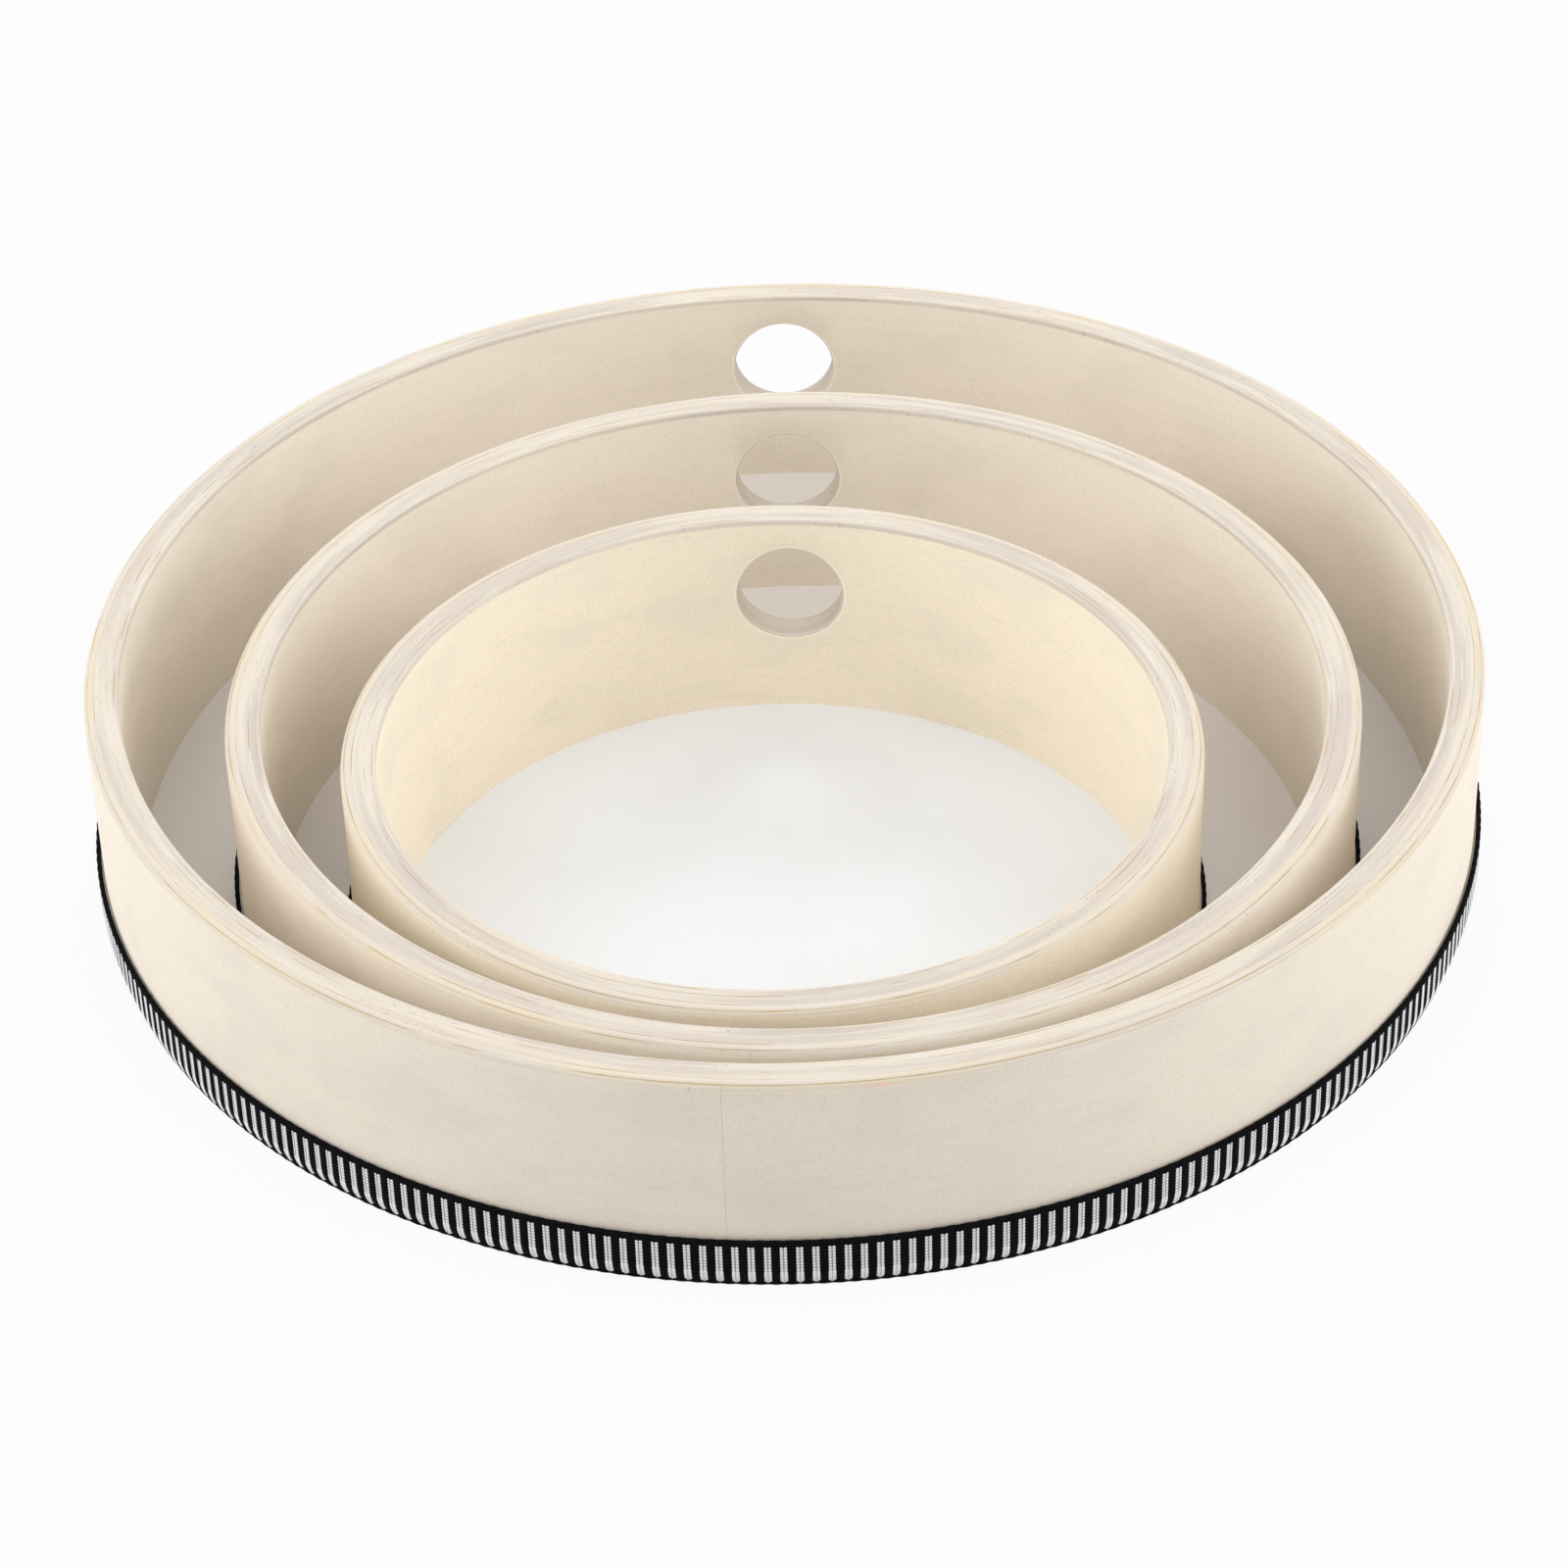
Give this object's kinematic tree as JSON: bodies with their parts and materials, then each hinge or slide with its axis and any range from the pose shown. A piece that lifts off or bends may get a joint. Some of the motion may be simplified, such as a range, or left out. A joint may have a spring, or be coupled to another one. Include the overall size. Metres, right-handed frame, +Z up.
{
  "type": "nesting frame drums",
  "caption": "Nesting frame drums with bent plywood rims, flat heads, woven ribbon trim and a thumb hole through each rim. Each smaller drum lifts out of the one around it.",
  "frame": {"origin": "centre of the large drum's playing face, on the surface that the nest lies on", "axes": "+Z up, from the playing faces to the open edges; +Y from the large drum's centre to its thumb hole, at the back"},
  "size_m": [0.2566, 0.2566, 0.0434],
  "materials": {
    "face_ply": "sanded bare pale veneer, satin",
    "cross_ply": "sanded bare veneer edge, satin",
    "core_ply": "sanded bare veneer edge, satin",
    "head": "smooth matt white membrane",
    "glue": "clear dried glue, satin",
    "ribbon": "black and white woven ribbon"
  },
  "bodies": {
    "large_drum": {"large_outer_ply": "face_ply", "large_outer_cross_ply": "cross_ply", "large_core_ply": "core_ply", "large_inner_cross_ply": "cross_ply", "large_inner_ply": "face_ply", "large_head": "head", "large_head_collar": "head", "large_ribbon_glue": "glue", "large_ribbon": "ribbon"},
    "medium_drum": {"medium_outer_ply": "face_ply", "medium_outer_cross_ply": "cross_ply", "medium_core_ply": "core_ply", "medium_inner_cross_ply": "cross_ply", "medium_inner_ply": "face_ply", "medium_head": "head", "medium_head_collar": "head", "medium_ribbon_glue": "glue", "medium_ribbon": "ribbon"},
    "small_drum": {"small_outer_ply": "face_ply", "small_outer_cross_ply": "cross_ply", "small_core_ply": "core_ply", "small_inner_cross_ply": "cross_ply", "small_inner_ply": "face_ply", "small_head": "head", "small_head_collar": "head", "small_ribbon_glue": "glue", "small_ribbon": "ribbon"}
  },
  "joints": [
    {"name": "medium_lift", "type": "slide", "parent": "large_drum", "child": "medium_drum", "axis": [0, 0, 1], "range_m": [0, 0.06]},
    {"name": "small_lift", "type": "slide", "parent": "medium_drum", "child": "small_drum", "axis": [0, 0, 1], "range_m": [0, 0.06]}
  ]
}
